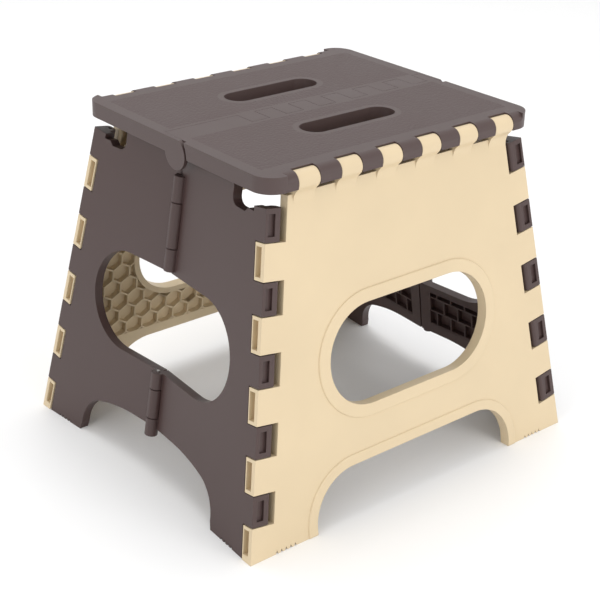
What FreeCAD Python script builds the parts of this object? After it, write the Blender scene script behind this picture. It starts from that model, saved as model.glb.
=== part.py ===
import FreeCAD, Part
import math
import os
from FreeCAD import Matrix, Placement, Rotation, Vector

# Driving sizes of the folding step stool, in millimetres and degrees.
SIZES = {
    "height": 320.0,
    "deck_thick": 14.0,
    "deck_half_length": 152.4,
    "deck_half_width": 132.3,
    "deck_corner": 19.0,
    "deck_skin": 3.0,
    "corner_top_x": 142.5,
    "corner_top_y": 121.1,
    "corner_foot_x": 193.2,
    "corner_foot_y": 168.8,
    "leg_thick": 9.0,
    "side_thick": 8.8,
    "skin": 3.0,
    "rim_width": 6.0,
    # top hinges: the axis, the light barrels and the dark ones between them
    "barrel_y": 123.8,
    "barrel_z": 310.3,
    "barrel_radius": 8.6,
    "barrel_width": 21.8,
    "barrel_pitch": 44.8,
    "barrel_shift": 3.0,
    "hinge_edge_radius": 8.6,
    "hinge_pin_radius": 2.5,
    "neck_radius": 14.0,
    "barrel_gap": 0.5,
    # corner hinges
    "pin_inset": 6.0,
    "pin_side_top": 12.4,
    "pin_side_foot": 15.2,
    "corner_pin_radius": 1.85,
    "band_pitch": 59.95,
    "tab_length": 30.9,
    "tab_start": -0.5,
    "band_gap": 0.9,
    "tab_depth": 12.0,
    "notch_root": 8.2,
    "knuckle_back": 4.0,
    # centre hinge of each side
    "side_kink": 0.035,
    "side_axis_out": 1.4,
    "side_barrel_radius": 6.0,
    "side_pin_radius": 1.6,
    "side_gap": 0.25,
    # centre joint of the top
    "joint_z": 306.0,
    "joint_reach": 10.8,
    "joint_pitch": 19.13,
    "joint_shift": 4.56,
    "joint_gap": 0.25,
    "centre_pin_radius": 2.0,
    "lug_radius": 5.5,
    "end_layer": 3.9,
    "lobe_radius": 14.0,
    "lobe_y": -9.0,
    "lobe_z": 1.0,
    "lobe_gap": 1.5,
    "lobe_drift": 2.5,
    # openings
    "leg_oval_half": 94.0,
    "leg_oval_low": 101.5,
    "leg_oval_high": 194.0,
    "leg_arch_half": 120.0,
    "leg_arch_high": 51.0,
    "leg_arch_radius": 44.0,
    "bead_width": 12.0,
    "bead_rise": 1.4,
    "side_oval_half": 102.0,
    "side_oval_low": 103.0,
    "side_oval_high": 197.0,
    "handle_half": 51.0,
    "handle_radius": 13.8,
    "handle_y": 53.3,
    # fits
    "run_fit": 0.06,
    "snug_fit": 0.02,
    "open_fit": 0.8,
    "sweep_gap": 0.4,
}

doc = FreeCAD.newDocument("stool")
sheet = doc.addObject("Spreadsheet::Sheet", "spec")
for row, (alias, number) in enumerate(SIZES.items(), start=1):
    sheet.set("A%d" % row, alias)
    sheet.set("B%d" % row, repr(number))
    sheet.setAlias("B%d" % row, alias)
doc.recompute()


class Size:
    """A length: its number and the sheet expression that gives it."""

    def __init__(self, value, text):
        self.value = value
        self.text = text

    def __add__(self, other):
        other = size(other)
        return Size(self.value + other.value, "(%s + %s)" % (self.text, other.text))

    def __sub__(self, other):
        other = size(other)
        return Size(self.value - other.value, "(%s - %s)" % (self.text, other.text))

    def __mul__(self, other):
        other = size(other)
        return Size(self.value * other.value, "(%s * %s)" % (self.text, other.text))

    def __truediv__(self, other):
        other = size(other)
        return Size(self.value / other.value, "(%s / %s)" % (self.text, other.text))

    def __neg__(self):
        return size(0.0) - self


def size(item):
    """The Size of a number, of an alias of the sheet, or of a Size."""
    if isinstance(item, Size):
        return item
    if isinstance(item, str):
        return Size(float(sheet.get(item)), "spec." + item)
    return Size(float(item), repr(float(item)))


def derived(alias, number):
    """A worked-out number kept in the next row of the sheet."""
    row = 1
    while sheet.getContents("A%d" % row):
        row += 1
    sheet.set("A%d" % row, alias)
    sheet.set("B%d" % row, repr(float(number)))
    sheet.setAlias("B%d" % row, alias)
    sheet.recompute()
    return size(alias)


def val(alias):
    """The number in a cell."""
    return float(sheet.get(alias))


ORIGIN = Vector(0, 0, 0)
AXIS_X = Vector(1, 0, 0)
AXIS_Y = Vector(0, 1, 0)
AXIS_Z = Vector(0, 0, 1)


def frame_placement(base, x_axis, y_axis):
    """The Placement whose local x and y axes point along the two given directions."""
    x_axis = Vector(x_axis).normalize()
    z_axis = x_axis.cross(y_axis).normalize()
    y_axis = z_axis.cross(x_axis)
    turn = Rotation(x_axis, y_axis, z_axis, "ZXY")
    return Placement(base, turn)


def new_body(name):
    body = doc.addObject("PartDesign::Body", name)
    body.Label = name
    return body


def plane_of(body, role):
    for item in body.Origin.OriginFeatures:
        if item.Role == role:
            return item
    raise ValueError(role)


def new_sketch(body, name, role, offset=None, place=None):
    """A sketch on a plane of the body's origin, lifted along its normal by offset."""
    item = body.newObject("Sketcher::SketchObject", name)
    item.AttachmentSupport = (plane_of(body, role), [""])
    item.MapMode = "FlatFace"
    if offset is not None:
        offset = size(offset)
        item.AttachmentOffset = Placement(Vector(0, 0, offset.value), Rotation())
        item.setExpression("AttachmentOffset.Base.z", offset.text)
    if place is not None:
        item.AttachmentOffset = place
    return item


def bind(item, kind, datum, *elements):
    """Adds one measured constraint and binds it to the sheet."""
    datum = size(datum)
    index = item.addConstraint(_constraint(kind, elements, datum.value))
    item.setExpression("Constraints[%d]" % index, datum.text)


def _constraint(kind, elements, number):
    import Sketcher
    return Sketcher.Constraint(kind, *elements, number)


def outline(item, path):
    """Draws a closed path of (x, y) corners.

    A corner given as (x, y, centre_x, centre_y, turn) is reached by an arc about
    that centre, counter-clockwise when turn is positive.
    """
    import Sketcher
    corners = [tuple(size(part) for part in corner) for corner in path]
    first = item.GeometryCount
    count = len(corners)
    ends = []
    for index in range(count):
        here = corners[index]
        there = corners[(index + 1) % count]
        start = Vector(here[0].value, here[1].value, 0)
        stop = Vector(there[0].value, there[1].value, 0)
        if len(there) == 2:
            item.addGeometry(Part.LineSegment(start, stop), False)
            ends.append((1, 2, None))
            continue
        centre = Vector(there[2].value, there[3].value, 0)
        radius = (start - centre).Length
        angle_a = math.atan2(start.y - centre.y, start.x - centre.x)
        angle_b = math.atan2(stop.y - centre.y, stop.x - centre.x)
        circle = Part.Circle(centre, AXIS_Z, radius)
        if there[4].value > 0:
            item.addGeometry(Part.ArcOfCircle(circle, angle_a, angle_b), False)
            ends.append((1, 2, there))
        else:
            item.addGeometry(Part.ArcOfCircle(circle, angle_b, angle_a), False)
            ends.append((2, 1, there))
    for index in range(count):
        here = first + index
        after = first + (index + 1) % count
        item.addConstraint(Sketcher.Constraint(
            "Coincident", here, ends[index][1], after, ends[(index + 1) % count][0]))
    for index in range(count):
        here = first + index
        bind(item, "DistanceX", corners[index][0], -1, 1, here, ends[index][0])
        bind(item, "DistanceY", corners[index][1], -1, 1, here, ends[index][0])
        arc = ends[index][2]
        if arc is not None:
            bind(item, "DistanceX", arc[2], -1, 1, here, 3)


def circle(item, x, y, radius):
    first = item.GeometryCount
    x, y, radius = size(x), size(y), size(radius)
    item.addGeometry(Part.Circle(Vector(x.value, y.value, 0), AXIS_Z, radius.value), False)
    bind(item, "DistanceX", x, -1, 1, first, 3)
    bind(item, "DistanceY", y, -1, 1, first, 3)
    bind(item, "Radius", radius, first)


def slot_path(x_left, x_right, y, radius):
    """A stadium lying along x, as a path."""
    x_left, x_right, y, radius = size(x_left), size(x_right), size(y), size(radius)
    return [
        (x_left, y - radius),
        (x_right, y - radius),
        (x_right, y + radius, x_right, y, 1),
        (x_left, y + radius),
        (x_left, y - radius, x_left, y, 1),
    ][:4] + [(x_left, y - radius, x_left, y, 1)]


def closed(path):
    """Folds the closing corner of a path onto its first one."""
    last = path[-1]
    return [last] + list(path[1:-1])


def pad(body, name, profile, length, reverse=False):
    item = body.newObject("PartDesign::Pad", name)
    item.Profile = profile
    length = size(length)
    item.Length = length.value
    item.setExpression("Length", length.text)
    item.Reversed = reverse
    return item


def pocket(body, name, profile, length=None, reverse=False):
    """A pocket of the given depth; without a depth it goes right through, both ways."""
    item = body.newObject("PartDesign::Pocket", name)
    item.Profile = profile
    if length is None:
        item.Midplane = True
        item.Length = 1500.0
    else:
        length = size(length)
        item.Length = length.value
        item.setExpression("Length", length.text)
    item.Reversed = reverse
    return item


def cylinder(body, name, base, direction, radius, length, cut=False):
    """A round bar or bore whose axis starts at base and runs along direction."""
    kind = "PartDesign::SubtractiveCylinder" if cut else "PartDesign::AdditiveCylinder"
    item = body.newObject(kind, name)
    radius, length = size(radius), size(length)
    item.Radius = radius.value
    item.Height = length.value
    item.setExpression("Radius", radius.text)
    item.setExpression("Height", length.text)
    item.Placement = Placement(base, Rotation(AXIS_Z, direction))
    return item


def grid(body, name, feature, x_step, x_count, y_step, y_count, profile):
    """Repeats a pocket or pad along the two axes of its own sketch."""
    item = body.newObject("PartDesign::MultiTransform", name)
    item.Originals = [feature]
    steps = []
    for axis, step, count in (("H_Axis", x_step, x_count), ("V_Axis", y_step, y_count)):
        if count < 2:
            continue
        row = body.newObject("PartDesign::LinearPattern", name + "_" + axis[0].lower())
        step = size(step)
        row.Direction = (profile, [axis])
        row.Occurrences = count
        row.Reversed = step.value < 0
        step = -step if step.value < 0 else step
        row.Length = step.value * (count - 1)
        row.setExpression("Length", "%s * %d" % (step.text, count - 1))
        steps.append(row)
    item.Transformations = steps
    body.Tip = item
    return item


def row_along(body, name, feature, profile, axis, step, count, reverse=False):
    """Repeats a feature in one line."""
    item = body.newObject("PartDesign::LinearPattern", name)
    item.Originals = [feature]
    item.Direction = (profile, [axis])
    item.Occurrences = count
    item.Reversed = reverse
    step = size(step)
    item.Length = step.value * (count - 1)
    item.setExpression("Length", "%s * %d" % (step.text, count - 1))
    body.Tip = item
    return item


# Worked-out geometry of one leg: x across, y up the slope, z outwards from its outer face.
RISE = val("height")
TILT = math.atan2(val("corner_foot_y") - val("corner_top_y"), RISE)
SLOPE = RISE / math.cos(TILT)
EDGE_LEAN = (val("corner_foot_x") - val("corner_top_x")) / SLOPE
EDGE_TURN = math.cos(math.atan(EDGE_LEAN))
PIN_FOOT = val("corner_foot_x") - val("pin_side_foot") / EDGE_TURN
PIN_TOP = val("corner_top_x") - val("pin_side_top") / EDGE_TURN
PIN_LEAN = math.atan2(PIN_FOOT - PIN_TOP, SLOPE)
LEG_PLACE = frame_placement(
    Vector(0, -val("corner_foot_y"), 0), AXIS_X, Vector(0, math.sin(TILT), math.cos(TILT)))
HALF_TURN = Placement(ORIGIN, Rotation(AXIS_Z, 180))

pin_foot = derived("pin_foot", PIN_FOOT)
lean_cos = derived("lean_cos", math.cos(PIN_LEAN))
lean_sin = derived("lean_sin", math.sin(PIN_LEAN))
edge_lean = derived("edge_lean", EDGE_LEAN)
slope_length = derived("slope_length", SLOPE)
tilt_angle = derived("tilt_angle", math.degrees(TILT))

# The top hinge's axis seen in the leg's own frame.
barrel_local = LEG_PLACE.inverse().multVec(Vector(0, -val("barrel_y"), val("barrel_z")))
hinge_up = derived("hinge_up", barrel_local.y)
hinge_out = derived("hinge_out", barrel_local.z)


def on_leg(side, along, out):
    """A point of the leg's face: along the corner axis from the floor, out from the axis."""
    along, out = size(along), size(out)
    across = pin_foot - along * lean_sin + out * lean_cos
    return (across * side, along * lean_cos + out * lean_sin)


def leg(name):
    """A whole leg: the panel with its openings, tabs and barrels."""
    body = new_body(name)
    thick = size("leg_thick")
    last_tab = size("tab_start") + size("band_pitch") * 4 + size("tab_length")
    plate_top = size("hinge_up") - 10.5

    def edge(up):
        return size("corner_foot_x") - edge_lean * up

    # plate with its slanted edges; above the last tab only the part behind the pins goes on
    outer = edge(0)
    tab_top = on_leg(1, last_tab, 14.0)
    root_low = on_leg(1, last_tab, -size("notch_root"))
    root_top_along = (plate_top + size("notch_root") * lean_sin) / lean_cos
    root_top = on_leg(1, root_top_along, -size("notch_root"))
    corner_up = tab_top[1]
    corner_x = edge(corner_up)
    plate = new_sketch(body, name + "_plate_sketch", "XY_Plane")
    outline(plate, [
        (-outer, 0), (outer, 0), (corner_x, corner_up), root_low,
        root_top, (-root_top[0], plate_top),
        (-root_low[0], root_low[1]), (-corner_x, corner_up),
    ])
    pad(body, name + "_plate", plate, thick, True)

    # deeper corner strips that carry the corner pins
    strips = new_sketch(body, name + "_strip_sketch", "XY_Plane")
    for side in (-1, 1):
        low = on_leg(side, -8, 0)
        high = on_leg(side, last_tab, 0)
        path = [low, (outer * side + side * 1.2, low[1]), (corner_x * side, corner_up), high]
        outline(strips, path if side > 0 else path[::-1])
    pad(body, name + "_strips", strips, "tab_depth", True)
    for side, word in ((-1, "left"), (1, "right")):
        base = Vector(side * (PIN_FOOT + 8 * math.sin(PIN_LEAN)), -8 * math.cos(PIN_LEAN), -val("pin_inset"))
        way = Vector(-side * math.sin(PIN_LEAN), math.cos(PIN_LEAN), 0)
        cylinder(body, name + "_boss_" + word, base, way, size("pin_inset") - 0.15, last_tab + 8)

    # barrels of the top hinge on their necks
    rise = val("neck_radius") - barrel_local.z
    reach = val("neck_radius") + val("barrel_radius")
    run = math.sqrt(reach ** 2 - rise ** 2)
    part = val("barrel_radius") / reach
    neck_low = derived(name + "_neck_low", barrel_local.y - run)
    touch_up = derived(name + "_touch_up", barrel_local.y - run * part)
    touch_out = derived(name + "_touch_out", barrel_local.z + rise * part)
    inner_up = hinge_up - size("barrel_radius") * 0.342
    inner_out = hinge_out - size("barrel_radius") * 0.9397
    left_edge = size("barrel_shift") - size("barrel_pitch") * 2.5 - size("barrel_width") / 2
    barrel = new_sketch(body, name + "_barrel_sketch", "YZ_Plane", left_edge)
    outline(barrel, [
        (neck_low - 12, -thick), (neck_low + 5, -thick), (inner_up, inner_out),
        (touch_up, touch_out, hinge_up, hinge_out, 1),
        (neck_low, 0, neck_low, size("neck_radius"), -1),
        (neck_low - 12, 0),
    ])
    first = pad(body, name + "_barrel", barrel, "barrel_width")
    row_along(body, name + "_barrels", first, barrel, "N_Axis", "barrel_pitch", 6)

    # raised band round the oval opening and round the foot arch
    oval_low, oval_high = size("leg_oval_low"), size("leg_oval_high")
    oval_r = (oval_high - oval_low) / 2
    oval_mid = (oval_high + oval_low) / 2
    oval_end = size("leg_oval_half") - oval_r
    band = size("bead_width")
    bead = new_sketch(body, name + "_bead_sketch", "XY_Plane")
    outline(bead, closed(slot_path(-oval_end, oval_end, oval_mid, oval_r + band)))
    ring = pad(body, name + "_bead", bead, "bead_rise")
    arch_r = size("leg_arch_radius")
    arch_x = size("leg_arch_half") - arch_r
    arch_y = size("leg_arch_high") - arch_r
    rim = new_sketch(body, name + "_arch_rim_sketch", "XY_Plane")
    wide = arch_r + band * 0.8
    outline(rim, [
        (-(arch_x + wide), 0), (arch_x + wide, 0), (arch_x + wide, arch_y),
        (arch_x, arch_y + wide, arch_x, arch_y, 1), (-arch_x, arch_y + wide),
        (-(arch_x + wide), arch_y, -arch_x, arch_y, 1),
    ])
    pad(body, name + "_arch_rim", rim, "bead_rise")
    doc.recompute()
    soften(body, name + "_bead_round", size("bead_rise") * 0.93, lambda edge: on_plane(edge, 2, val("bead_rise")))

    # openings
    oval = new_sketch(body, name + "_oval_sketch", "XY_Plane")
    outline(oval, closed(slot_path(-oval_end, oval_end, oval_mid, oval_r)))
    pocket(body, name + "_oval", oval)
    arch = new_sketch(body, name + "_arch_sketch", "XY_Plane")
    outline(arch, [
        (-(arch_x + arch_r), -8), (arch_x + arch_r, -8), (arch_x + arch_r, arch_y),
        (arch_x, arch_y + arch_r, arch_x, arch_y, 1), (-arch_x, arch_y + arch_r),
        (-(arch_x + arch_r), arch_y, -arch_x, arch_y, 1),
    ])
    pocket(body, name + "_arch", arch)

    # gaps between the corner tabs, where the dark knuckles go
    notches = new_sketch(body, name + "_notch_sketch", "XY_Plane")
    for side in (-1, 1):
        for step in range(4):
            low = size("tab_start") + size("band_pitch") * step + size("tab_length")
            high = size("tab_start") + size("band_pitch") * (step + 1)
            path = [
                on_leg(side, low, -size("notch_root")), on_leg(side, low, 30),
                on_leg(side, high, 30), on_leg(side, high, -size("notch_root")),
            ]
            outline(notches, path if side > 0 else path[::-1])
    pocket(body, name + "_notches", notches)

    # hollow in each tab, open towards the side panel
    hollow_from = size("pin_inset") - 2.0
    hollows = new_sketch(body, name + "_hollow_sketch", "XY_Plane", -hollow_from)
    for side in (-1, 1):
        for step in range(5):
            low = size("tab_start") + size("band_pitch") * step + 3.0
            high = size("tab_start") + size("band_pitch") * step + size("tab_length") - 3.0
            if step == 0:
                low = low + 2.5
            path = [on_leg(side, low, 5.2), on_leg(side, low, 30), on_leg(side, high, 30), on_leg(side, high, 5.2)]
            outline(hollows, path if side > 0 else path[::-1])
    pocket(body, name + "_hollows", hollows, size("tab_depth") - hollow_from - 1.2)

    # floor cut, so that the slanted plate stands flat
    floor = new_sketch(body, name + "_floor_sketch", "YZ_Plane")
    sole = size("tab_depth") + 4
    lift = derived(name + "_lift", math.tan(TILT))
    outline(floor, [(-lift * 6, 6), (-30, 6), (-30, -sole), (lift * sole, -sole)])
    pocket(body, name + "_floor", floor)

    # small teeth under each foot
    teeth = new_sketch(body, name + "_teeth_sketch", "XY_Plane")
    for side in (-1, 1):
        for step in range(5):
            left = 142.0 + 5.0 * step
            path = [(left * side, -3), ((left + 5.0) * side, -3), ((left + 2.5) * side, 3.4)]
            outline(teeth, path if side > 0 else path[::-1])
    pocket(body, name + "_teeth", teeth)

    # bores
    for side, word in ((-1, "left"), (1, "right")):
        base = Vector(side * (PIN_FOOT + 20 * math.sin(PIN_LEAN)), -20 * math.cos(PIN_LEAN), -val("pin_inset"))
        way = Vector(-side * math.sin(PIN_LEAN), math.cos(PIN_LEAN), 0)
        cylinder(body, name + "_bore_" + word, base, way, size("corner_pin_radius") + "snug_fit", 360, True)
    cylinder(
        body, name + "_hinge_bore", Vector(-160, barrel_local.y, barrel_local.z), AXIS_X,
        size("hinge_pin_radius") + "snug_fit", 320, True)

    # shallow tray behind the outer skin, with a rim all round and one round the oval
    tray_low, tray_high = size(62.0), plate_top - 9.0
    lean_tan = lean_sin / lean_cos

    def tray_side(up):
        return pin_foot - lean_tan * up - size("notch_root") - 4.5

    tray = new_sketch(body, name + "_tray_sketch", "XY_Plane", -thick)
    outline(tray, [
        (-tray_side(tray_low), tray_low), (tray_side(tray_low), tray_low),
        (tray_side(tray_high), tray_high), (-tray_side(tray_high), tray_high),
    ])
    outline(tray, closed(slot_path(-oval_end, oval_end, oval_mid, oval_r + "rim_width")))
    cut = pocket(body, name + "_tray", tray, thick - "skin", True)
    body.Tip = cut
    body.Placement = LEG_PLACE
    return body


def on_plane(edge, axis, level):
    """True for an edge that lies in the plane where one coordinate has the given value."""
    box = edge.BoundBox
    low = (box.XMin, box.YMin, box.ZMin)[axis]
    high = (box.XMax, box.YMax, box.ZMax)[axis]
    return abs(low - level) < 1e-4 and abs(high - level) < 1e-4


def soften(body, name, radius, pick):
    """Rounds the edges that pick chooses on the body's present shape."""
    before = body.Tip
    names = []
    for index, edge in enumerate(before.Shape.Edges, start=1):
        if pick(edge):
            names.append("Edge%d" % index)
    item = body.newObject("PartDesign::Fillet", name)
    item.Base = (before, names)
    radius = size(radius)
    item.Radius = radius.value
    item.setExpression("Radius", radius.text)
    return item


# Worked-out geometry of the left side: the corner axis, the apex and the centre axis.
def leg_point(across, up, out):
    return LEG_PLACE.multVec(Vector(across, up, out))


def leg_way(across, up, out):
    return LEG_PLACE.Rotation.multVec(Vector(across, up, out))


CORNER_BASE = leg_point(-PIN_FOOT, 0, -val("pin_inset"))
CORNER_WAY = leg_way(math.sin(PIN_LEAN), math.cos(PIN_LEAN), 0)
APEX = CORNER_BASE + CORNER_WAY * (-CORNER_BASE.y / CORNER_WAY.y)
middle = CORNER_BASE + CORNER_WAY * ((SLOPE - 150.0) / math.cos(PIN_LEAN))
CENTRE_BASE = Vector(middle.x - val("side_kink") * abs(middle.y), 0, middle.z)
CENTRE_WAY = (APEX - CENTRE_BASE).normalize()


def centre_at(level):
    """The point of the side's centre axis at one height."""
    return CENTRE_BASE + CENTRE_WAY * ((level - CENTRE_BASE.z) / CENTRE_WAY.z)


edge_low = leg_point(-(val("corner_foot_x") - EDGE_LEAN * 20), 20, 0)
edge_high = leg_point(-(val("corner_foot_x") - EDGE_LEAN * 310), 310, 0)
face_mid = centre_at(150.0) + AXIS_X * val("side_axis_out")
SIDE_IN = (edge_high - edge_low).cross(face_mid - edge_low).normalize()
if SIDE_IN.x < 0:
    SIDE_IN = -SIDE_IN
SIDE_X = AXIS_Z.cross(SIDE_IN).normalize()
if SIDE_X.y < 0:
    SIDE_X = -SIDE_X
SIDE_Y = SIDE_IN.cross(SIDE_X)
SIDE_BASE = AXIS_X * (edge_low.dot(SIDE_IN) / SIDE_IN.x)
SIDE_FRONT = frame_placement(SIDE_BASE, SIDE_X, SIDE_Y)
SIDE_BACK = frame_placement(
    SIDE_BASE, Vector(-SIDE_X.x, SIDE_X.y, 0), Vector(SIDE_Y.x, -SIDE_Y.y, SIDE_Y.z))


def line_in(place, point, way):
    """A line seen in a local frame: (x, z) at y = 0 and the growth of x and z per y."""
    inner = place.inverse()
    here = inner.multVec(point)
    run = inner.Rotation.multVec(way)
    grow_x = run.x / run.y
    grow_z = run.z / run.y
    return here.x - grow_x * here.y, here.z - grow_z * here.y, grow_x, grow_z


line = line_in(SIDE_FRONT, CORNER_BASE, CORNER_WAY)
pin_reach = derived("pin_reach", -line[0])
pin_close = derived("pin_close", line[2])
fold_lean = derived("fold_lean", SIDE_Y.y / SIDE_X.y)
sole_lean = derived("sole_lean", -SIDE_IN.z / SIDE_Y.z)


def pin_at(up):
    """Distance of the corner axis from the middle line, up the side's face."""
    return pin_reach - pin_close * up


def fold_at(up):
    """Distance of the fold line from the frame's own middle line."""
    return fold_lean * up


def flip(path, side):
    """Mirrors a path to the other half of a side."""
    result = []
    for corner in path:
        if len(corner) == 2:
            result.append((size(corner[0]) * side, corner[1]))
        else:
            result.append((size(corner[0]) * side, corner[1], size(corner[2]) * side, corner[3], corner[4] * side))
    return result


ENDS = ((40.4, 58.0), (86.0, 104.6), (197.0, 218.0), (259.0, 283.0))
MIDDLES = ((58.0, 86.0), (218.0, 259.0))


def side_half(name, half):
    """One half of a side panel; half is -1 for the front half and 1 for the back half."""
    body = new_body(name)
    place = SIDE_FRONT if half < 0 else SIDE_BACK
    inner = place.inverse()
    thick = size("side_thick")
    gap = size("side_gap")
    rim = size("pin_inset") + 1.0

    panel = new_sketch(body, name + "_panel_sketch", "XY_Plane")
    outline(panel, flip([
        (fold_at(47.8) + gap, 47.8), (30, 47.8),
        (80, 40.5, 30, -127.1, -1), (104.3, 7.9, 70.3, 7.9, -1), (107.5, -3),
        (pin_at(-3) - rim, -3), (pin_at(290) - rim, 290),
        (98, 290), (94, 286), (83, 286), (75, 294, 83, 294, -1), (75, 300.5),
        (72, 303.5, 72, 300.5, 1), (fold_at(303.5) + gap, 303.5),
    ], half))
    pad(body, name + "_panel", panel, thick)

    # knuckles round the corner pin
    mirror = Vector(1, -half, 1)
    base = CORNER_BASE + CORNER_WAY * (val("tab_start") + val("tab_length") + val("band_gap"))
    axes = []
    for vector in (base, CORNER_WAY, leg_way(-math.cos(PIN_LEAN), math.sin(PIN_LEAN), 0), leg_way(0, 0, -1)):
        axes.append(vector if half < 0 else Vector(vector.x, -vector.y, vector.z))
    spot = inner.multVec(axes[0])
    along = inner.Rotation.multVec(axes[1])
    out = inner.Rotation.multVec(axes[2])
    deep = inner.Rotation.multVec(axes[3])
    knuckle_place = frame_placement(spot, out, deep * half)
    back = size("knuckle_back")
    inset = size("pin_inset")
    low = -(inset - back)
    knuckle = new_sketch(body, name + "_knuckle_sketch", "XY_Plane", place=knuckle_place)
    shape = [
        (20, -inset), (0, -inset), (-back, low, 0, low, -1), (-back, -low), (0, inset, 0, -low, -1),
        (back, inset), (back, inset + 5), (20, inset + 5),
    ]
    outline(knuckle, [(c[0], size(c[1]) * half) if len(c) == 2 else
                      (c[0], size(c[1]) * half, c[2], size(c[3]) * half, c[4] * half) for c in shape])
    length = size("band_pitch") - "tab_length" - size("band_gap") * 2
    first = pad(body, name + "_knuckle", knuckle, length)
    row_along(body, name + "_knuckles", first, knuckle, "N_Axis", "band_pitch", 5)
    dent_base = inner.multVec(axes[0] + axes[1] * 4.5)
    dent_place = frame_placement(dent_base, out, deep * half)
    dent = new_sketch(body, name + "_dent_sketch", "XY_Plane", place=dent_place)
    outline(dent, [(c[0], size(c[1]) * half) for c in (
        (3.4, -inset - 2), (10.4, -inset - 2), (10.4, -inset + 2.6), (3.4, -inset + 2.6))])
    hollow = pocket(body, name + "_dent", dent, length - 9.0, True)
    row_along(body, name + "_dents", hollow, dent, "N_Axis", "band_pitch", 5)

    # barrels of the centre hinge, and room for those of the other half
    own = ENDS if half < 0 else MIDDLES
    other = MIDDLES if half < 0 else ENDS
    end_gap = 0.2
    way = inner.Rotation.multVec(CENTRE_WAY)
    for index, (low_z, high_z) in enumerate(own):
        start = inner.multVec(centre_at(low_z + end_gap))
        cylinder(body, "%s_barrel_%d" % (name, index), start, way, "side_barrel_radius",
                 (high_z - low_z - 2 * end_gap) / CENTRE_WAY.z)
    doc.recompute()
    soften(body, name + "_barrel_ends", 1.0, lambda edge: ring_edge(edge, val("side_barrel_radius")))
    for index, (low_z, high_z) in enumerate(other):
        start = inner.multVec(centre_at(low_z - end_gap))
        cylinder(body, "%s_room_%d" % (name, index), start, way,
                 size("side_barrel_radius") + "sweep_gap",
                 (high_z - low_z + 2 * end_gap) / CENTRE_WAY.z, True)

    # outer face trimmed flat between the barrels and the corner
    face = new_sketch(body, name + "_face_sketch", "XY_Plane")
    outline(face, flip([(11, -20), (230, -20), (230, 330), (11, 330)], half))
    pocket(body, name + "_face", face, 30)

    # opening shared by both halves
    oval_r = (size("side_oval_high") - "side_oval_low") / 2
    oval_mid = (size("side_oval_high") + "side_oval_low") / 2
    oval_end = size("side_oval_half") - oval_r
    oval = new_sketch(body, name + "_oval_sketch", "XY_Plane")
    outline(oval, closed(slot_path(-oval_end, oval_end, oval_mid, oval_r)))
    pocket(body, name + "_oval", oval)

    # floor cut and teeth
    floor = new_sketch(body, name + "_floor_sketch", "YZ_Plane")
    sole = size(28)
    outline(floor, [(-sole_lean * 8, -8), (-40, -8), (-40, sole), (sole_lean * sole, sole)])
    pocket(body, name + "_floor", floor)
    teeth = new_sketch(body, name + "_teeth_sketch", "XY_Plane")
    for step in range(4):
        left = 122.0 + 5.0 * step
        outline(teeth, flip([(left, -3), (left + 5.0, -3), (left + 2.5, 3.2)], half))
    pocket(body, name + "_teeth", teeth)

    # bores
    foot = inner.multVec(axes[0] - axes[1] * 60)
    cylinder(body, name + "_corner_bore", foot, along, size("corner_pin_radius") + "run_fit", 400, True)
    hold = "snug_fit" if half < 0 else "run_fit"
    cylinder(body, name + "_centre_bore", inner.multVec(centre_at(30)), way,
             size("side_pin_radius") + hold, 260, True)

    # shallow trays behind the outer skin, above and below the opening
    trays = new_sketch(body, name + "_tray_sketch", "XY_Plane", thick)
    for x_low, x_high, y_low, y_high in ((12.5, 104.0, 204.0, 283.0), (12.5, 122.0, 58.0, 96.0),
                                         (111.5, 124.5, 102.0, 190.0)):
        outline(trays, flip([(x_low, y_low), (x_high, y_low), (x_high, y_high), (x_low, y_high)], half))
    body.Tip = pocket(body, name + "_trays", trays, thick - "skin")
    body.Placement = place
    return body


def ring_edge(edge, radius):
    """True for a full or partial circle of the given radius."""
    curve = edge.Curve
    return hasattr(curve, "Radius") and abs(curve.Radius - radius) < 1e-4 and hasattr(curve, "Center")


JOINTS = {step: size("joint_shift") + size("joint_pitch") * step for step in range(-8, 8)}


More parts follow.
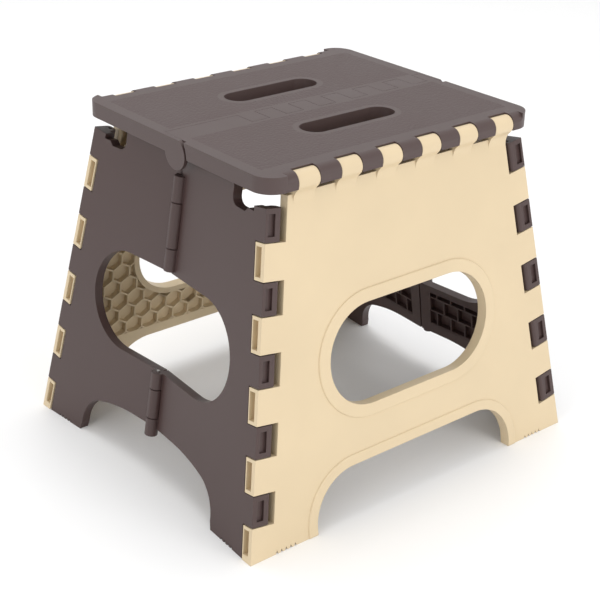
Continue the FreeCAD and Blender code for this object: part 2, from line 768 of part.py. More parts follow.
def deck(name, back):
    """One half of the top, drawn with its leg on the -y side and the centre joint on +y."""
    body = new_body(name)
    thick = size("deck_thick")
    long_half = size("deck_half_length")
    wide = size("deck_half_width")
    bend = size("deck_corner")
    gap = size("joint_gap")
    reach = size("joint_reach")
    layer = long_half - "end_layer"
    far = reach - gap
    near = -reach - gap

    # spans of the joint edge from left to right: (right end, how far it reaches)
    spans = []
    if back:
        spans.append((-layer - gap, 9.0))
        for step in (6, 4, 2, 0, -2, -4):
            spans.append((-JOINTS[step + 1] + gap, near))
            spans.append((-JOINTS[step] - gap, far))
        spans.append((layer + gap, near))
        spans.append((long_half, 9.0))
    else:
        spans.append((-layer, -9.0))
        spans.append((JOINTS[-4] - gap, far))
        for step in (-3, -1, 1, 3, 5):
            spans.append((JOINTS[step] + gap, near))
            spans.append((JOINTS[step + 1] - gap, far))
        spans.append((JOINTS[7] + gap, near))
        spans.append((layer, far))
        spans.append((long_half, -9.0))
    path = [
        (-(long_half - bend), -wide), (long_half - bend, -wide),
        (long_half, -(wide - bend), long_half - bend, -(wide - bend), 1),
    ]
    right = long_half
    for index in range(len(spans) - 1, -1, -1):
        left = spans[index - 1][0] if index else -long_half
        path.append((right, spans[index][1]))
        path.append((left, spans[index][1]))
        right = left
    path.append((-long_half, -(wide - bend)))
    path[0] = (-(long_half - bend), -wide, -(long_half - bend), -(wide - bend), 1)
    plate = new_sketch(body, name + "_plate_sketch", "XY_Plane")
    outline(plate, path)
    pad(body, name + "_plate", plate, thick)

    # round end lobes of the centre joint
    lobe_y = size("lobe_y") * (-1 if back else 1)
    if back:
        for side, word in ((-1, "left"), (1, "right")):
            start = -layer.value - gap.value if side < 0 else long_half.value
            base = Vector(start, lobe_y.value, val("lobe_z"))
            cylinder(body, name + "_lobe_" + word, base, -AXIS_X, "lobe_radius", size("end_layer") - gap)
        top = new_sketch(body, name + "_top_trim_sketch", "XY_Plane", thick)
        outline(top, [(-200, -200), (200, -200), (200, 60), (-200, 60)])
        pocket(body, name + "_top_trim", top, 30, True)
    else:
        swing = math.hypot(val("lobe_y"), val("lobe_z")) + val("lobe_radius") + val("lobe_drift")
        sweep = derived("lobe_sweep", swing)
        for side, word in ((-1, "left"), (1, "right")):
            start = -layer.value if side < 0 else long_half.value + 1
            base = Vector(start, lobe_y.value, val("lobe_z"))
            cylinder(body, name + "_lobe_room_" + word, base, -AXIS_X, size("lobe_radius") + "lobe_gap",
                     size("end_layer") + 1, True)
            # the lobe swings up round the open centre joint, which drifts a little on the way
            centre = Vector(start, 0, 0)
            cylinder(body, name + "_lobe_sweep_" + word, centre, -AXIS_X, sweep, size("end_layer") + 1, True)

    # lugs under the teeth for the centre pin
    lug_width = size("joint_pitch") - 2.0
    if back:
        lug_left = -JOINTS[5] + 1.0
        lug = new_sketch(body, name + "_lug_sketch", "YZ_Plane", lug_left)
        circle(lug, 0, 0, "lug_radius")
        count = 5
    else:
        lug_left = JOINTS[-5] + 1.0
        lug = new_sketch(body, name + "_lug_sketch", "YZ_Plane", lug_left)
        outline(lug, [
            (-8.6, 1), (-8.6, -2.2), (-5.6, -5.2, -5.6, -2.2, 1), (2.0, -5.2), (5.0, -2.2, 2.0, -2.2, 1), (5.0, 1),
        ])
        count = 6
    first = pad(body, name + "_lug", lug, lug_width)
    row_along(body, name + "_lugs", first, lug, "N_Axis", size("joint_pitch") * 2, count)

    # rounded hinge edge and the places for the light barrels
    axis_y = -size("barrel_y")
    axis_z = size("barrel_z") - "joint_z"
    round_r = size("hinge_edge_radius")
    round_z = thick - round_r
    left = size("barrel_shift") - size("barrel_pitch") * 2.5 - size("barrel_width") / 2 - 12
    long_edge = size("barrel_pitch") * 5 + "barrel_width" + 24
    nose_path = [
        (axis_y, thick + 4), (axis_y - 16, thick + 4), (axis_y - 16, round_z), (axis_y - round_r, round_z),
        (axis_y, thick, axis_y, round_z, -1),
    ]
    nose = new_sketch(body, name + "_edge_sketch", "YZ_Plane", left)
    outline(nose, nose_path)
    pocket(body, name + "_edge", nose, long_edge, True)
    room = size("barrel_radius") + "sweep_gap"
    low = axis_z + 6
    side_low = derived(name + "_room_low", math.sqrt(room.value ** 2 - 36.0))
    recess = 3.2
    side_high = derived(name + "_room_high", math.sqrt(room.value ** 2 - recess ** 2))
    slot_left = size("barrel_shift") - size("barrel_pitch") * 2.5 - size("barrel_width") / 2 - "barrel_gap"
    slot = new_sketch(body, name + "_slot_sketch", "YZ_Plane", slot_left)
    outline(slot, [
        (axis_y - 16, axis_z - 6), (axis_y + side_low, axis_z - 6),
        (axis_y + recess, axis_z + side_high, axis_y, axis_z, 1),
        (axis_y + recess, thick + 3), (axis_y - 16, thick + 3),
    ])
    cut = pocket(body, name + "_slot", slot, size("barrel_width") + size("barrel_gap") * 2, True)
    row_along(body, name + "_slots", cut, slot, "N_Axis", "barrel_pitch", 6)

    # hand hole with rounded rims
    hand = new_sketch(body, name + "_hand_sketch", "XY_Plane")
    hand_end = size("handle_half") - "handle_radius"
    outline(hand, closed(slot_path(-hand_end, hand_end, -size("handle_y"), "handle_radius")))
    pocket(body, name + "_hand", hand)

    # bores
    cylinder(body, name + "_hinge_bore", Vector(-142, axis_y.value, axis_z.value), AXIS_X,
             size("hinge_pin_radius") + "run_fit", 284, True)
    if back:
        cylinder(body, name + "_centre_bore", Vector(-JOINTS[6].value, 0, 0), AXIS_X,
                        size("centre_pin_radius") + "snug_fit", JOINTS[6].value - JOINTS[-5].value, True)
    else:
        cylinder(body, name + "_centre_bore", Vector(JOINTS[-5].value, -1.9, 2.4), AXIS_X,
                        5.2, JOINTS[6].value - JOINTS[-5].value, True)

    # hollows in the underside between the ribs
    sign = -1 if back else 1
    cells = new_sketch(body, name + "_cells_sketch", "XY_Plane")
    blocks = []
    for step in range(-7, 7, 2):
        blocks.append((step, step + 2, -110.5, -74.5))
        blocks.append((step, step + 2, -31.75, -14.25))
    blocks.append((-7, -4, -72.0, -34.0))
    blocks.append((3, 7, -72.0, -34.0))
    for first_step, last_step, y_low, y_high in blocks:
        x_low = JOINTS[first_step] * sign + (0.9 * sign)
        x_high = JOINTS[last_step] * sign - (0.9 * sign)
        outline(cells, [(x_low, y_low), (x_high, y_low), (x_high, y_high), (x_low, y_high)])
    body.Tip = pocket(body, name + "_cells", cells, thick - "deck_skin", True)
    place = Placement(Vector(0, 0, val("joint_z")), Rotation())
    body.Placement = HALF_TURN.multiply(place) if back else place
    return body


def pin(name, base, way, radius, length):
    """A plain round pin."""
    item = doc.addObject("Part::Cylinder", name)
    item.Label = name
    radius, length = size(radius), size(length)
    item.setExpression("Radius", radius.text)
    item.setExpression("Height", length.text)
    item.Placement = Placement(base, Rotation(AXIS_Z, way))
    return item


def turned_copy(name, source):
    """The same moulded piece once more, half a turn round the stool's upright axis."""
    body = new_body(name)
    copy = body.newObject("PartDesign::FeatureBase", name + "_copy")
    copy.BaseFeature = source
    body.Tip = copy
    body.Placement = HALF_TURN.multiply(source.Placement)
    return body


front_leg = leg("front_leg")
left_front = side_half("left_front_side", -1)
left_back = side_half("left_back_side", 1)
parts = [
    front_leg,
    left_front,
    left_back,
    deck("top_front", False),
    deck("top_back", True),
]
doc.recompute()
back_leg = turned_copy("back_leg", front_leg)
right_back = turned_copy("right_back_side", left_front)
right_front = turned_copy("right_front_side", left_back)
inner = left_front.Placement.inverse()
right_back.Tip = cylinder(
    right_back, "right_back_side_wide_bore", inner.multVec(CORNER_BASE), inner.Rotation.multVec(CORNER_WAY),
    size("corner_pin_radius") + "open_fit", 320, True)
parts += [back_leg, right_back, right_front]

# pins
hinge_half = 140.0
for name, sign in (("front_hinge_pin", -1), ("back_hinge_pin", 1)):
    parts.append(pin(name, Vector(-hinge_half, sign * val("barrel_y"), val("barrel_z")), AXIS_X,
                     "hinge_pin_radius", 2 * hinge_half))
parts.append(pin("top_centre_pin", Vector(JOINTS[-5].value + 0.6, 0, val("joint_z")), AXIS_X,
                 "centre_pin_radius", JOINTS[6] - JOINTS[-5] - 1.2))
for name, sign_x, sign_y in (
        ("left_front_corner_pin", 1, 1), ("left_back_corner_pin", 1, -1),
        ("right_front_corner_pin", -1, 1), ("right_back_corner_pin", -1, -1)):
    start = CORNER_BASE + CORNER_WAY * 2.5
    parts.append(pin(name, Vector(start.x * sign_x, start.y * sign_y, start.z),
                     Vector(CORNER_WAY.x * sign_x, CORNER_WAY.y * sign_y, CORNER_WAY.z),
                     "corner_pin_radius", size("band_pitch") * 5 - 6))
for name, sign, low_z, high_z in (
        ("left_upper_side_pin", 1, 198.0, 282.0), ("left_lower_side_pin", 1, 41.4, 103.6),
        ("right_upper_side_pin", -1, 198.0, 282.0), ("right_lower_side_pin", -1, 41.4, 103.6)):
    start = centre_at(low_z)
    parts.append(pin(name, Vector(start.x * sign, 0, start.z),
                     Vector(CENTRE_WAY.x * sign, 0, CENTRE_WAY.z), "side_pin_radius",
                     (high_z - low_z) / CENTRE_WAY.z))

doc.recompute()
for item in doc.Objects:
    if "Invalid" in item.State or "Error" in item.State:
        raise RuntimeError("failed: " + item.Name)
for item in parts:
    if item.Shape.isNull() or not item.Shape.isValid() or len(item.Shape.Solids) != 1:
        raise RuntimeError("bad shape: " + item.Label)
os.makedirs("parts", exist_ok=True)
for item in parts:
    item.Shape.exportStep("parts/%s.step" % item.Label)
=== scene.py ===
import math
import bpy
import numpy as np
from mathutils import Matrix, Vector


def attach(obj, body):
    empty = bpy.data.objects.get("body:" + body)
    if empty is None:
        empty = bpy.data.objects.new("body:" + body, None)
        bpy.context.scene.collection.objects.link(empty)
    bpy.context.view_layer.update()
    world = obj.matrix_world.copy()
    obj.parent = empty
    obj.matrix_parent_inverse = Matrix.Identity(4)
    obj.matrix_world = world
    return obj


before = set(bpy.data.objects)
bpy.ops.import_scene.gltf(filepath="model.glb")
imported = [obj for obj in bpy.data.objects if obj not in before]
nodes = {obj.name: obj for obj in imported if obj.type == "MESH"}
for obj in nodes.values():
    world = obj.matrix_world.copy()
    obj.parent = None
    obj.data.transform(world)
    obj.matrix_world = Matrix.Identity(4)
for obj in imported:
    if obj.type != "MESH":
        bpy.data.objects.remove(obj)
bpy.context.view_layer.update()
scene = bpy.context.scene

# Shared surface effects.
# One softens every edge by a fraction of a millimetre, one gives moulded plastic its
# faint unevenness, and one gives the top its pebbled grain.

# The pebbled area of the tread, in metres from the middle of the top.
GRAIN_HALF_LENGTH = 0.1405
GRAIN_HALF_WIDTH = 0.1095
GRAIN_OFF_JOINT = 0.0152
HAND_STRAIGHT_HALF = 0.0372
HAND_MIDDLE = 0.0533
GRAIN_OFF_HAND = 0.0195
GRAIN_LOWEST = 0.3195


def socket(group, name, kind, side, default=None):
    """Adds one input or output to a node group."""
    item = group.interface.new_socket(name=name, in_out=side, socket_type=kind)
    if default is not None:
        item.default_value = default
    return item


def math_node(tree, operation, first, second=None, third=None):
    """A maths node fed by sockets or numbers; returns its output."""
    node = tree.nodes.new("ShaderNodeMath")
    node.operation = operation
    for index, value in enumerate((first, second, third)):
        if value is None:
            continue
        if isinstance(value, (int, float)):
            node.inputs[index].default_value = value
        else:
            tree.links.new(value, node.inputs[index])
    return node.outputs[0]


def plastic_group():
    """Faint flow marks and specks of moulded plastic: a height, a roughness and a tint."""
    group = bpy.data.node_groups.new("moulded_skin", "ShaderNodeTree")
    socket(group, "Height", "NodeSocketFloat", "OUTPUT")
    socket(group, "Roughness", "NodeSocketFloat", "OUTPUT")
    socket(group, "Tint", "NodeSocketFloat", "OUTPUT")
    place = group.nodes.new("ShaderNodeTexCoord").outputs["Object"]
    wave = group.nodes.new("ShaderNodeTexNoise")
    wave.inputs["Scale"].default_value = 14.0
    wave.inputs["Detail"].default_value = 3.0
    group.links.new(place, wave.inputs["Vector"])
    speck = group.nodes.new("ShaderNodeTexNoise")
    speck.inputs["Scale"].default_value = 900.0
    speck.inputs["Detail"].default_value = 2.0
    group.links.new(place, speck.inputs["Vector"])
    out = group.nodes.new("NodeGroupOutput")
    height = math_node(group, "MULTIPLY", wave.outputs["Fac"], 0.9)
    height = math_node(group, "MULTIPLY_ADD", speck.outputs["Fac"], 0.12, height)
    group.links.new(height, out.inputs["Height"])
    rough = math_node(group, "MULTIPLY", wave.outputs["Fac"], 0.10)
    rough = math_node(group, "MULTIPLY_ADD", speck.outputs["Fac"], 0.10, rough)
    group.links.new(rough, out.inputs["Roughness"])
    group.links.new(wave.outputs["Fac"], out.inputs["Tint"])
    return group


def pebble_group():
    """Pebbled grain of the tread, kept off its smooth border: a height and a mask."""
    group = bpy.data.node_groups.new("pebble_grain", "ShaderNodeTree")
    socket(group, "Height", "NodeSocketFloat", "OUTPUT")
    socket(group, "Mask", "NodeSocketFloat", "OUTPUT")
    place = group.nodes.new("ShaderNodeTexCoord").outputs["Object"]
    cell = group.nodes.new("ShaderNodeTexVoronoi")
    cell.feature = "SMOOTH_F1"
    cell.inputs["Scale"].default_value = 420.0
    cell.inputs["Smoothness"].default_value = 0.6
    group.links.new(place, cell.inputs["Vector"])
    split = group.nodes.new("ShaderNodeSeparateXYZ")
    group.links.new(place, split.inputs[0])
    across = math_node(group, "ABSOLUTE", split.outputs["X"])
    along = math_node(group, "ABSOLUTE", split.outputs["Y"])
    in_length = math_node(group, "LESS_THAN", across, GRAIN_HALF_LENGTH)
    in_width = math_node(group, "LESS_THAN", along, GRAIN_HALF_WIDTH)
    off_joint = math_node(group, "GREATER_THAN", along, GRAIN_OFF_JOINT)
    # distance from the straight middle line of the nearer hand slot
    over = math_node(group, "MAXIMUM", math_node(group, "SUBTRACT", across, HAND_STRAIGHT_HALF), 0.0)
    aside = math_node(group, "SUBTRACT", along, HAND_MIDDLE)
    squared = math_node(group, "ADD", math_node(group, "MULTIPLY", over, over),
                        math_node(group, "MULTIPLY", aside, aside))
    distance = math_node(group, "SQRT", squared)
    off_hand = math_node(group, "GREATER_THAN", distance, GRAIN_OFF_HAND)
    on_top = math_node(group, "GREATER_THAN", split.outputs["Z"], GRAIN_LOWEST)
    mask = math_node(group, "MULTIPLY", in_length, in_width)
    for more in (off_joint, off_hand, on_top):
        mask = math_node(group, "MULTIPLY", mask, more)
    out = group.nodes.new("NodeGroupOutput")
    height = math_node(group, "MULTIPLY", cell.outputs["Distance"], mask)
    group.links.new(height, out.inputs["Height"])
    group.links.new(mask, out.inputs["Mask"])
    return group


def edge_group():
    """Shading normal with every edge rounded, and a mask that is 1 on sharp edges."""
    group = bpy.data.node_groups.new("soft_edges", "ShaderNodeTree")
    socket(group, "Radius", "NodeSocketFloat", "INPUT", 0.0006)
    socket(group, "Normal", "NodeSocketVector", "OUTPUT")
    socket(group, "Edge", "NodeSocketFloat", "OUTPUT")
    source = group.nodes.new("NodeGroupInput")
    bevel = group.nodes.new("ShaderNodeBevel")
    bevel.samples = 6
    group.links.new(source.outputs["Radius"], bevel.inputs["Radius"])
    geometry = group.nodes.new("ShaderNodeNewGeometry")
    dot = group.nodes.new("ShaderNodeVectorMath")
    dot.operation = "DOT_PRODUCT"
    group.links.new(bevel.outputs[0], dot.inputs[0])
    group.links.new(geometry.outputs["Normal"], dot.inputs[1])
    out = group.nodes.new("NodeGroupOutput")
    group.links.new(bevel.outputs[0], out.inputs["Normal"])
    edge = math_node(group, "SUBTRACT", 1.0, dot.outputs["Value"])
    edge = math_node(group, "MULTIPLY", edge, 4.0)
    edge = math_node(group, "MINIMUM", edge, 1.0)
    group.links.new(edge, out.inputs["Edge"])
    return group


skin = plastic_group()
pebbles = pebble_group()
edges = edge_group()


def add_group(tree, group):
    """A node that holds one of the shared groups."""
    node = tree.nodes.new("ShaderNodeGroup")
    node.node_tree = group
    return node


def plastic(name, colour, edge_highlight, roughness, grain=False):
    """Moulded plastic: base colour, a paler colour painted on every sharp edge as a highlight, a satin
    shine.
    """
    material = bpy.data.materials.new(name)
    material.use_nodes = True
    tree = material.node_tree
    shader = tree.nodes["Principled BSDF"]
    detail = add_group(tree, skin)
    soft = add_group(tree, edges)
    # of a colour mix node, inputs 6 and 7 are the two colours and output 2 is the mixed one
    mix = tree.nodes.new("ShaderNodeMix")
    mix.data_type = "RGBA"
    mix.inputs[6].default_value = (*colour, 1.0)
    # the paler second colour is a painted highlight, laid evenly along every sharp edge
    mix.inputs[7].default_value = (*edge_highlight, 1.0)
    tree.links.new(math_node(tree, "MULTIPLY", soft.outputs["Edge"], 0.35), mix.inputs[0])
    tone = tree.nodes.new("ShaderNodeHueSaturation")
    value = math_node(tree, "MULTIPLY_ADD", detail.outputs["Tint"], 0.12, 0.94)
    tree.links.new(value, tone.inputs["Value"])
    tree.links.new(mix.outputs[2], tone.inputs["Color"])
    tree.links.new(tone.outputs[0], shader.inputs["Base Color"])
    rough = math_node(tree, "ADD", detail.outputs["Roughness"], roughness - 0.1)
    bumper = tree.nodes.new("ShaderNodeBump")
    bumper.inputs["Distance"].default_value = 0.00006
    bumper.inputs["Strength"].default_value = 1.0
    tree.links.new(detail.outputs["Height"], bumper.inputs["Height"])
    tree.links.new(soft.outputs["Normal"], bumper.inputs["Normal"])
    normal = bumper.outputs[0]
    if grain:
        pebbled = add_group(tree, pebbles)
        rough = math_node(tree, "MULTIPLY_ADD", pebbled.outputs["Mask"], 0.10, rough)
        pebble = tree.nodes.new("ShaderNodeBump")
        pebble.inputs["Distance"].default_value = 0.00035
        pebble.inputs["Strength"].default_value = 1.0
        pebble.invert = True
        tree.links.new(pebbled.outputs["Height"], pebble.inputs["Height"])
        tree.links.new(normal, pebble.inputs["Normal"])
        normal = pebble.outputs[0]
    tree.links.new(rough, shader.inputs["Roughness"])
    tree.links.new(normal, shader.inputs["Normal"])
    shader.inputs["IOR"].default_value = 1.47
    return material


def dress(material, *names):
    """Gives CAD nodes one material in place of their plain one."""
    for name in names:
        item = nodes[name]
        item.data.materials.clear()
        item.data.materials.append(material)


# The top: two dark halves with a pebbled tread.
# Satin moulded plastic; each half hangs on its leg by the barrels at its outer edge.
# the second, paler colour is the painted highlight on the tread's edges
tread = plastic("tread_plastic", (0.072, 0.046, 0.043), (0.14, 0.10, 0.095), 0.42, grain=True)
dress(tread, "top_front", "top_back")

# The sides: four dark half panels.
# Smooth satin plastic, hinged to the legs at the corners and to each other in the middle.
# the second, paler colour is the painted highlight on the panels' edges
dark = plastic("side_plastic", (0.060, 0.034, 0.031), (0.12, 0.083, 0.078), 0.40)
dress(dark, "left_front_side", "left_back_side", "right_front_side", "right_back_side")

# The legs: two light panels with their corner pins.
# Warm beige plastic of the same make; the pins are pressed into the corner tabs.
# the second, paler colour is the painted highlight on the legs' edges
light = plastic("leg_plastic", (0.66, 0.53, 0.345), (0.78, 0.67, 0.48), 0.38)
dress(light, "front_leg", "back_leg", "left_front_corner_pin", "left_back_corner_pin",
      "right_front_corner_pin", "right_back_corner_pin")

# The ribs behind the leg panels: a honeycomb in each tray.
# Same beige plastic, moulded in one with the skin and a little lower than the rim.

# The stool's height, and how far the leg's outer face is from the middle at foot and top.
HEIGHT = 0.32
LEG_FOOT_OUT = 0.1688
LEG_TOP_OUT = 0.1211
# The line of the corner pin on the leg: its half width at the floor and how much it leans in.
PIN_AT_FLOOR = 0.1778
PIN_LEAN = 0.1479
# The leg's tray: its edge inside the pin line, its lowest and highest place, and the
# rim round the oval opening.
TRAY_INSET = 0.0117
TRAY_LOW = 0.0612
TRAY_HIGH = 0.2942
OVAL_STRAIGHT_HALF = 0.04775
OVAL_MIDDLE = 0.14775
OVAL_RIM = 0.0515
# The honeycomb: cell size, wall, first row, and where a wall starts and ends behind the face.
CELL = 0.019
CELL_ROWS = 16
CELL_COLUMNS = 9
CELL_FIRST_ROW = 0.0695
LEG_RIB_WIDTH = 0.0017
LEG_RIB_ROOT = -0.0028
LEG_RIB_TIP = -0.0087


def honeycomb(size, rows, columns, low):
    """Unique walls of a honeycomb with upright cell corners, as pairs of flat points."""
    reach = size / math.sqrt(3.0)
    walls = {}
    for row in range(rows):
        for column in range(-columns, columns + 1):
            x = (column + 0.5 * (row % 2)) * size
            y = low + row * size * math.sqrt(3.0) / 2
            corners = [(x + reach * math.cos(math.radians(30 + 60 * k)),
                        y + reach * math.sin(math.radians(30 + 60 * k))) for k in range(6)]
            for k in range(6):
                ends = (corners[k], corners[(k + 1) % 6])
                # walls of neighbouring cells have the same middle, to a tenth of a millimetre
                key = (round((ends[0][0] + ends[1][0]) * 5000), round((ends[0][1] + ends[1][1]) * 5000))
                walls[key] = ends
    return list(walls.values())


def kept(wall, inside, steps=24):
    """The stretch of a wall that lies inside a region, or None."""
    start, stop = np.array(wall[0]), np.array(wall[1])
    hits = [k for k in range(steps + 1) if inside(*(start + (stop - start) * k / steps))]
    if len(hits) < 3:
        return None
    return start + (stop - start) * hits[0] / steps, start + (stop - start) * hits[-1] / steps


def rib_mesh(name, walls, inside, width, root, tip, place):
    """Closed bars along the kept walls, standing from depth root to depth tip."""
    points, faces = [], []
    for wall in walls:
        stretch = kept(wall, inside)
        if stretch is None:
            continue
        start, stop = stretch
        along = (stop - start) / np.linalg.norm(stop - start)
        aside = np.array((-along[1], along[0])) * width / 2
        first = len(points)
        for depth in (root, tip):
            for corner in (start - aside, stop - aside, stop + aside, start + aside):
                points.append(place @ Vector((corner[0], corner[1], depth)))
        rising = root < tip
        quads = [(3, 2, 1, 0), (4, 5, 6, 7), (0, 1, 5, 4), (1, 2, 6, 5), (2, 3, 7, 6), (3, 0, 4, 7)]
        faces += [tuple(first + k for k in (quad if rising else quad[::-1])) for quad in quads]
    mesh = bpy.data.meshes.new(name)
    mesh.from_pydata(points, [], faces)
    mesh.update()
    item = bpy.data.objects.new(name, mesh)
    scene.collection.objects.link(item)
    return item


tilt = math.atan2(LEG_FOOT_OUT - LEG_TOP_OUT, HEIGHT)
leg_place = Matrix((
    (1, 0, 0, 0),
    (0, math.sin(tilt), -math.cos(tilt), -LEG_FOOT_OUT),
    (0, math.cos(tilt), math.sin(tilt), 0),
    (0, 0, 0, 1),
))
half_turn = Matrix.Rotation(math.pi, 4, "Z")


def in_leg_tray(x, y):
    """True inside the leg's tray, a little into its rims."""
    side = PIN_AT_FLOOR - PIN_LEAN * y - TRAY_INSET
    over = max(abs(x) - OVAL_STRAIGHT_HALF, 0.0)
    return TRAY_LOW < y < TRAY_HIGH and abs(x) < side and math.hypot(over, y - OVAL_MIDDLE) > OVAL_RIM


leg_walls = honeycomb(CELL, CELL_ROWS, CELL_COLUMNS, CELL_FIRST_ROW)
for name, place in (("front_leg", leg_place), ("back_leg", half_turn @ leg_place)):
    ribs = rib_mesh(name + "_ribs", leg_walls, in_leg_tray, LEG_RIB_WIDTH, LEG_RIB_ROOT, LEG_RIB_TIP, place)
    ribs.data.materials.append(light)
    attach(ribs, name)

# The ribs behind the side panels: square cells in each tray.
# Same dark plastic as the panels and moulded in one with them.

# The stool's corner line on the leg's face: half width at the floor, how much it leans in,
# and the two heights at which it is taken.
CORNER_AT_FLOOR = 0.1932
CORNER_LEAN = 0.1567
CORNER_LOW = 0.020
CORNER_HIGH = 0.310
# A point of the side's outer face in the middle between the legs.
SIDE_MIDDLE = (-0.158758, 0, 0.150)
# The trays of a side half: nearest and farthest place from the centre hinge, lowest and highest.
UPPER_TRAY = (0.0118, 0.1047, 0.2033, 0.2837)
LOWER_TRAY = (0.0118, 0.1227, 0.0573, 0.0967)
OUTER_TRAY = (0.1108, 0.1252, 0.1013, 0.1907)
# The square cells: their pitch both ways, how far every second row is shifted, where the
# first ones are, and how far the level walls run.
SQUARE_HEIGHT = 0.0158
SQUARE_LENGTH = 0.0183
SQUARE_SHIFT = 0.009
SQUARE_ROWS = 17
SQUARE_COLUMNS = 8
FIRST_ROW = 0.043
FIRST_COLUMN = 0.0125
LEVEL_WALL_ENDS = (0.008, 0.070, 0.128)
SIDE_RIB_WIDTH = 0.0016
SIDE_RIB_ROOT = 0.0028
SIDE_RIB_TIP = 0.0085


def corner_point(up):
    """The point of the stool's left front corner line at a distance up the leg."""
    return leg_place @ Vector((-(CORNER_AT_FLOOR - CORNER_LEAN * up), up, 0))


def side_place():
    """The frame of the left front half: x along the panel, y up it, z inwards."""
    low = corner_point(CORNER_LOW)
    high = corner_point(CORNER_HIGH)
    inward = (high - low).cross(Vector(SIDE_MIDDLE) - low).normalized()
    if inward.x < 0:
        inward = -inward
    along = Vector((0, 0, 1)).cross(inward).normalized()
    if along.y < 0:
        along = -along
    upward = inward.cross(along)
    base = low.dot(inward) / inward.x
    return Matrix((
        (along.x, upward.x, inward.x, base),
        (along.y, upward.y, inward.y, 0),
        (along.z, upward.z, inward.z, 0),
        (0, 0, 0, 1),
    ))


left_front_place = side_place()
mirror_y = Matrix.Diagonal((1, -1, 1, 1))
mirror_x = Matrix.Diagonal((-1, 1, 1, 1))
left_back_place = mirror_y @ left_front_place @ mirror_x


def in_side_tray(x, y):
    """True inside one of the three trays of a side half."""
    for near, far, low, high in (UPPER_TRAY, LOWER_TRAY, OUTER_TRAY):
        if near < abs(x) < far and low < y < high:
            return True
    return False


def squares(side):
    """Walls of square cells with their rows shifted like bricks."""
    start, middle, stop = LEVEL_WALL_ENDS
    found = []
    for row in range(SQUARE_ROWS):
        y = FIRST_ROW + row * SQUARE_HEIGHT
        found.append(((side * start, y), (side * middle, y)))
        found.append(((side * middle, y), (side * stop, y)))
        for column in range(SQUARE_COLUMNS):
            x = side * (FIRST_COLUMN + SQUARE_LENGTH * column + SQUARE_SHIFT * (row % 2))
            found.append(((x, y), (x, y + SQUARE_HEIGHT)))
    return found


side_halves = (
    ("left_front_side", -1, left_front_place),
    ("left_back_side", 1, left_back_place),
    ("right_back_side", -1, half_turn @ left_front_place),
    ("right_front_side", 1, half_turn @ left_back_place),
)
for name, side, place in side_halves:
    walls = squares(side)
    ribs = rib_mesh(name + "_ribs", walls, in_side_tray, SIDE_RIB_WIDTH, SIDE_RIB_ROOT, SIDE_RIB_TIP, place)
    ribs.data.materials.append(dark)
    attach(ribs, name)

# The hidden pins: drawn steel wire in the top's hinges and the side's centre hinges.
# The wire's shine varies a little from place to place.
steel = bpy.data.materials.new("pin_steel")
steel.use_nodes = True
tree = steel.node_tree
metal = tree.nodes["Principled BSDF"]
metal.inputs["Metallic"].default_value = 1.0
metal.inputs["Base Color"].default_value = (0.45, 0.44, 0.43, 1.0)
mark = tree.nodes.new("ShaderNodeTexNoise")
mark.inputs["Scale"].default_value = 700.0
where = tree.nodes.new("ShaderNodeTexCoord")
tree.links.new(where.outputs["Object"], mark.inputs["Vector"])
tree.links.new(math_node(tree, "MULTIPLY_ADD", mark.outputs["Fac"], 0.25, 0.22), metal.inputs["Roughness"])
dress(steel, "front_hinge_pin", "back_hinge_pin", "top_centre_pin", "left_upper_side_pin",
      "left_lower_side_pin", "right_upper_side_pin", "right_lower_side_pin")

# The setting: a white sweep that rises behind the stool, and soft lamps.
# The floor touches the feet at height zero.

# The direction that the camera looks from, measured round the upright axis.
azimuth = math.radians(-39.58)
# The sweep: its run behind and before the stool, its height, half width, and bend.
SWEEP_BACK = 5.0
SWEEP_FRONT = -4.0
SWEEP_HEIGHT = 5.0
SWEEP_HALF_WIDTH = 7.0
SWEEP_BEND = 1.2
BEND_STEPS = 12


def sweep():
    """Floor and backdrop in one sheet: flat, then a quarter circle, then upright."""
    flat_end = SWEEP_BACK - SWEEP_BEND
    profile = [(SWEEP_FRONT, 0.0), (flat_end, 0.0)]
    for step in range(1, BEND_STEPS + 1):
        angle = math.pi / 2 * step / BEND_STEPS
        profile.append((flat_end + SWEEP_BEND * math.sin(angle), SWEEP_BEND - SWEEP_BEND * math.cos(angle)))
    profile.append((SWEEP_BACK, SWEEP_HEIGHT))
    forward = Vector((-math.sin(azimuth), math.cos(azimuth), 0))
    sideways = Vector((math.cos(azimuth), math.sin(azimuth), 0))
    points = []
    for run, lift in profile:
        for width in (-SWEEP_HALF_WIDTH, SWEEP_HALF_WIDTH):
            points.append(forward * run + sideways * width + Vector((0, 0, lift)))
    faces = [(2 * i, 2 * i + 1, 2 * i + 3, 2 * i + 2) for i in range(len(profile) - 1)]
    mesh = bpy.data.meshes.new("sweep")
    mesh.from_pydata(points, [], faces)
    for face in mesh.polygons:
        face.use_smooth = True
    item = bpy.data.objects.new("sweep", mesh)
    scene.collection.objects.link(item)
    return item


paper = bpy.data.materials.new("paper")
paper.use_nodes = True
paper_shader = paper.node_tree.nodes["Principled BSDF"]
paper_shader.inputs["Base Color"].default_value = (0.92, 0.92, 0.92, 1.0)
paper_shader.inputs["Roughness"].default_value = 0.9
floor = sweep()
floor.data.materials.append(paper)

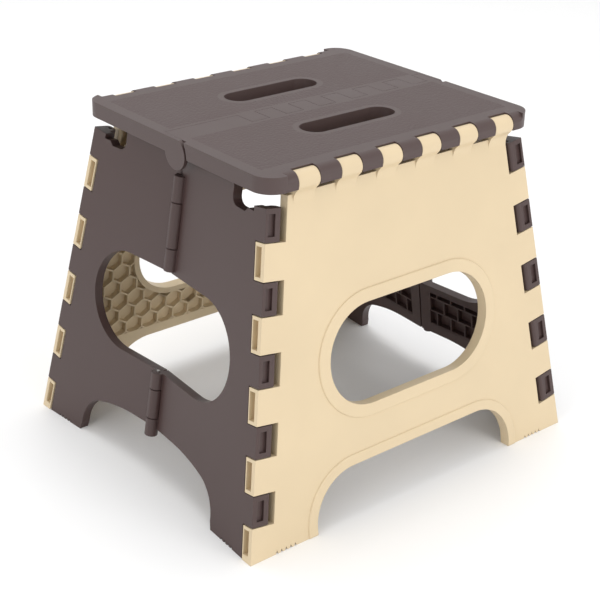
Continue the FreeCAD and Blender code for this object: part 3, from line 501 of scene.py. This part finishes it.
scene.view_settings.view_transform = "Standard"
world = bpy.data.worlds.new("room")
scene.world = world
world.use_nodes = True
room = world.node_tree.nodes["Background"]
room.inputs["Color"].default_value = (1.0, 1.0, 1.0, 1.0)
room.inputs["Strength"].default_value = 0.82


def lamp(name, place, aim, size, power):
    """A square soft lamp aimed at a point."""
    data = bpy.data.lights.new(name, "AREA")
    data.size = size
    data.energy = power
    item = bpy.data.objects.new(name, data)
    item.location = place
    item.rotation_euler = (Vector(aim) - Vector(place)).to_track_quat("-Z", "Y").to_euler()
    scene.collection.objects.link(item)


panels = (0, 0, 0.12)
shoulder = (0, 0, 0.2)
lamp("key", (0.5, -3.0, 1.3), panels, 1.6, 34)
lamp("left", (-2.6, -0.4, 1.1), panels, 1.4, 12)
lamp("above", (0.2, 0.6, 2.8), shoulder, 1.6, 26)

# The camera, placed and turned as measured in the photograph.
# Lengths in the photograph are in its own pixels.
PHOTO_SIZE = 600.0
FOCAL_PIXELS = 1373.06
CENTRE_PIXEL = 281.76
SENSOR = 36.0
DISTANCE = 1.29584
elevation = math.radians(25.57)
roll = math.radians(1.22)
target = Vector((-0.02603, 0.0, 0.13262))

level = math.cos(elevation)
back = Vector((math.sin(azimuth) * level, -math.cos(azimuth) * level, math.sin(elevation)))
right = Vector((math.cos(azimuth), math.sin(azimuth), 0.0))
up = back.cross(right)
rolled_right = right * math.cos(roll) + up * math.sin(roll)
rolled_up = up * math.cos(roll) - right * math.sin(roll)
eye = target + back * DISTANCE
lens = bpy.data.cameras.new("camera")
lens.sensor_width = SENSOR
lens.lens = FOCAL_PIXELS / PHOTO_SIZE * SENSOR
lens.shift_x = (PHOTO_SIZE / 2 - CENTRE_PIXEL) / PHOTO_SIZE
camera = bpy.data.objects.new("camera", lens)
scene.collection.objects.link(camera)
camera.matrix_world = Matrix((
    (rolled_right.x, rolled_up.x, back.x, eye.x),
    (rolled_right.y, rolled_up.y, back.y, eye.y),
    (rolled_right.z, rolled_up.z, back.z, eye.z),
    (0, 0, 0, 1),
))
scene.camera = camera
